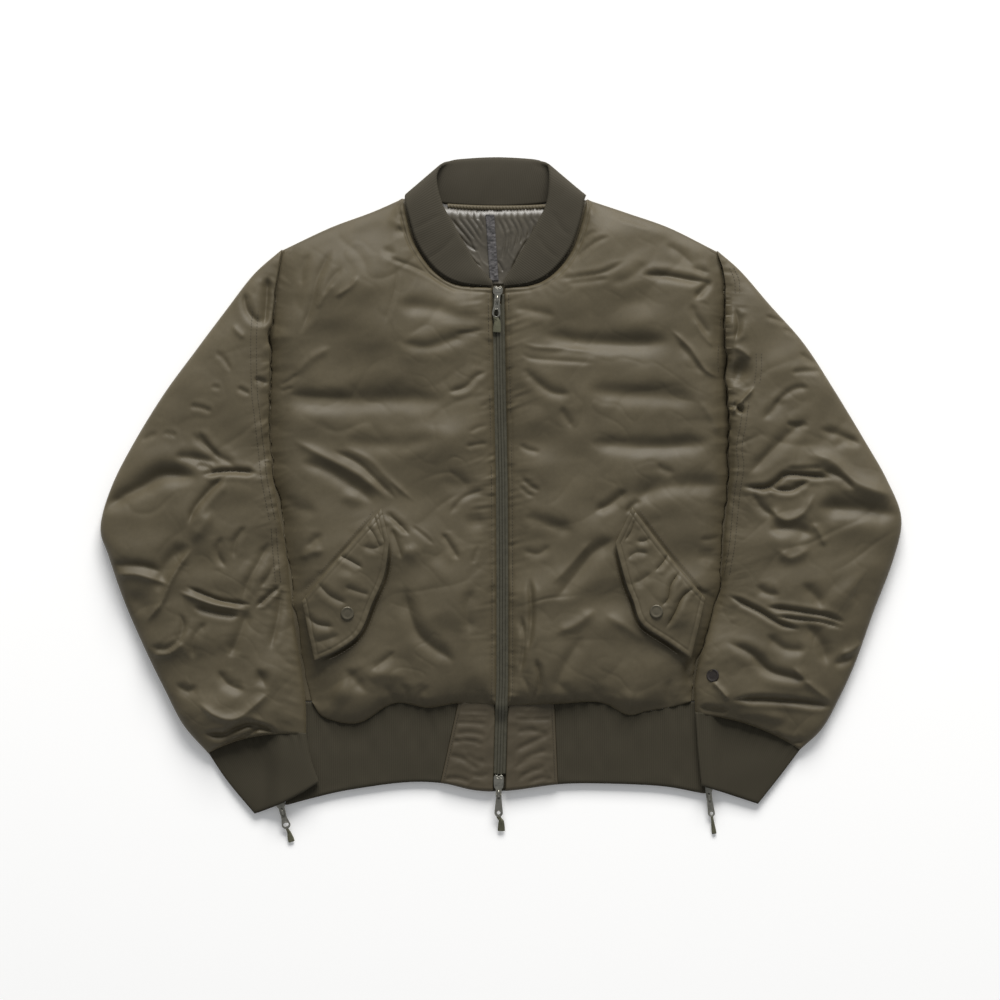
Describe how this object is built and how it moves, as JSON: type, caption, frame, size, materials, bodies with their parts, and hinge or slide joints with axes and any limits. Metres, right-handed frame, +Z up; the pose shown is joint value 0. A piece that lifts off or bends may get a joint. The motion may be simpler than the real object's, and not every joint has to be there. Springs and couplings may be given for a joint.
{
  "type": "bomber jacket",
  "caption": "Padded nylon bomber jacket laid flat and zipped up, with rib collar, cuffs and hem, slanted flap pockets and zip pulls that turn.",
  "frame": {"origin": "middle of the jacket's bounding box, on the surface that its back lies on", "axes": "+X towards the wearer's left across the jacket, +Y from the hem to the collar, +Z up out of the front"},
  "size_m": [0.9003, 0.7718, 0.0365],
  "materials": {
    "satin": "nylon satin flight cloth, olive brown, soft sheen",
    "rib_knit": "fine rib knit, matte",
    "lining": "crinkled shiny nylon lining",
    "zip_tape": "woven zip tape, matte",
    "zip_teeth": "dark olive teeth",
    "dark_metal": "dark grey-olive coated metal",
    "snap_cap": "olive enamelled cap",
    "pull_tail": "green cord tail",
    "badge": "plain dark round patch"
  },
  "bodies": {
    "root": {"back_body": "satin", "front_right": "satin", "front_left": "satin", "sleeve_right": "satin", "sleeve_left": "satin", "pocket_flap_right": "satin", "pocket_flap_left": "satin", "hem_facing_right": "satin", "hem_facing_left": "satin", "neck_piping": "satin", "collar": "rib_knit", "cuff_right": "rib_knit", "cuff_left": "rib_knit", "hem_rib_back": "rib_knit", "hem_rib_right": "rib_knit", "hem_rib_left": "rib_knit", "back_lining": "lining", "zip_tape_right": "zip_tape", "zip_tape_left": "zip_tape", "side_zip_right": "zip_tape", "side_zip_left": "zip_tape", "lining_tape": "zip_tape", "zip_chain": "zip_teeth", "slider_top": "dark_metal", "slider_bottom": "dark_metal", "slider_side_right": "dark_metal", "slider_side_left": "dark_metal", "snap_right": "snap_cap", "snap_left": "snap_cap", "sleeve_badge": "badge"},
    "pull_top": {"pull_top": "dark_metal", "tail_top": "pull_tail"},
    "pull_bottom": {"pull_bottom": "dark_metal", "tail_bottom": "pull_tail"},
    "pull_side_right": {"pull_side_right": "dark_metal", "tail_side_right": "pull_tail"},
    "pull_side_left": {"pull_side_left": "dark_metal", "tail_side_left": "pull_tail"}
  },
  "joints": [
    {"name": "pull_top_hinge", "type": "hinge", "parent": "root", "child": "pull_top", "pos_m": [-0.0042, 0.226, 0.0192], "axis": [-0.9976, 0.0698, 0], "range_deg": [0, 150]},
    {"name": "pull_bottom_hinge", "type": "hinge", "parent": "root", "child": "pull_bottom", "pos_m": [-0.0026, -0.329, 0.0126], "axis": [-1, 0, 0], "range_deg": [0, 150]},
    {"name": "pull_side_right_hinge", "type": "hinge", "parent": "root", "child": "pull_side_right", "pos_m": [-0.2455, -0.35, 0.0082], "axis": [-0.9659, -0.2588, 0], "range_deg": [0, 120]},
    {"name": "pull_side_left_hinge", "type": "hinge", "parent": "root", "child": "pull_side_left", "pos_m": [0.234, -0.333, 0.0082], "axis": [-0.9903, -0.1392, 0], "range_deg": [0, 120]}
  ]
}
